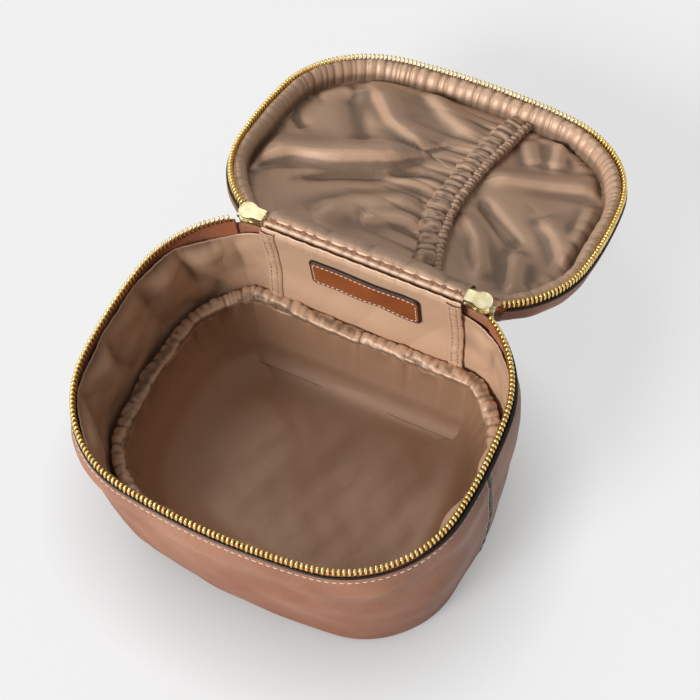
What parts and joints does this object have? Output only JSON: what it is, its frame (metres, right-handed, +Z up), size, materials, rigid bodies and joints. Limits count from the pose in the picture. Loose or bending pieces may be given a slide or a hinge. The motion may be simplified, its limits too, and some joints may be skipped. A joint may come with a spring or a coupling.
{
  "type": "jewellery case",
  "caption": "Soft leather jewellery case: deep rounded base and shallow padded lid, joined by a folded hinge and closed by a brass zip with two sliders; satin pockets inside.",
  "frame": {"origin": "centre of the flat face that the case rests on, below the middle of the hinge-to-front axis", "axes": "+X along the hinge, +Y from the front to the hinge and the laid-back lid, +Z up"},
  "size_m": [0.1948, 0.3076, 0.103],
  "materials": {
    "leather": "smooth pull-up leather, satin",
    "patch_leather": "smooth leather with painted edge",
    "satin": "rose-taupe satin",
    "zip_cloth": "herringbone zip tape",
    "elastic": "woven elastic",
    "board": "grey-brown fibre board",
    "foam": "soft padding",
    "teeth": "bright brass",
    "slider_metal": "pale gold, brushed"
  },
  "bodies": {
    "base": {"base_front_band": "leather", "base_back_band": "leather", "base_bottom_panel": "leather", "base_wall_stiffener": "board", "base_bottom_board": "board", "base_wall_lining": "satin", "base_floor_lining": "satin", "base_pocket_panel": "satin", "base_pocket_casing": "satin", "base_pocket_elastic": "elastic", "hinge_strip_lining": "satin", "hinge_seam_tape_left": "satin", "hinge_seam_tape_right": "satin", "leather_patch": "patch_leather", "hinge_fold": "leather", "base_zip_tape": "zip_cloth", "base_zip_teeth": "teeth"},
    "lid": {"lid_edge_band": "leather", "lid_top_panel": "leather", "lid_hinge_flap": "leather", "lid_foam": "foam", "lid_board": "board", "lid_lining": "satin", "lid_hem_roll": "satin", "lid_pocket_panel": "satin", "lid_pocket_casing": "satin", "lid_pocket_elastic": "elastic", "lid_zip_tape": "zip_cloth", "lid_zip_teeth": "teeth"},
    "left_slider": {"left_slider": "slider_metal"},
    "right_slider": {"right_slider": "slider_metal"},
    "left_pull": {"left_pull": "slider_metal"},
    "right_pull": {"right_pull": "slider_metal"}
  },
  "joints": [
    {"name": "lid_hinge", "type": "hinge", "parent": "base", "child": "lid", "pos_m": [0, 0.0738, 0.0998], "axis": [1, 0, 0], "range_deg": [0, 194.5]},
    {"name": "left_slider_tilt", "type": "hinge", "parent": "base", "child": "left_slider", "pos_m": [0, 0.07065, 0.0998], "axis": [1, 0, 0], "range_deg": [0, 90]},
    {"name": "right_slider_tilt", "type": "hinge", "parent": "base", "child": "right_slider", "pos_m": [0, 0.07065, 0.0998], "axis": [1, 0, 0], "range_deg": [0, 90]},
    {"name": "left_pull_swing", "type": "hinge", "parent": "left_slider", "child": "left_pull", "pos_m": [-0.0658, 0.07285, 0.0967], "axis": [0, 1, 0], "range_deg": [0, 75]},
    {"name": "right_pull_swing", "type": "hinge", "parent": "right_slider", "child": "right_pull", "pos_m": [0.0658, 0.07285, 0.0967], "axis": [0, 1, 0], "range_deg": [-75, 0]}
  ],
  "couplings": [
    {"joint": "left_slider_tilt", "follows": "lid_hinge", "ratio": 0.46272},
    {"joint": "right_slider_tilt", "follows": "lid_hinge", "ratio": 0.46272}
  ]
}
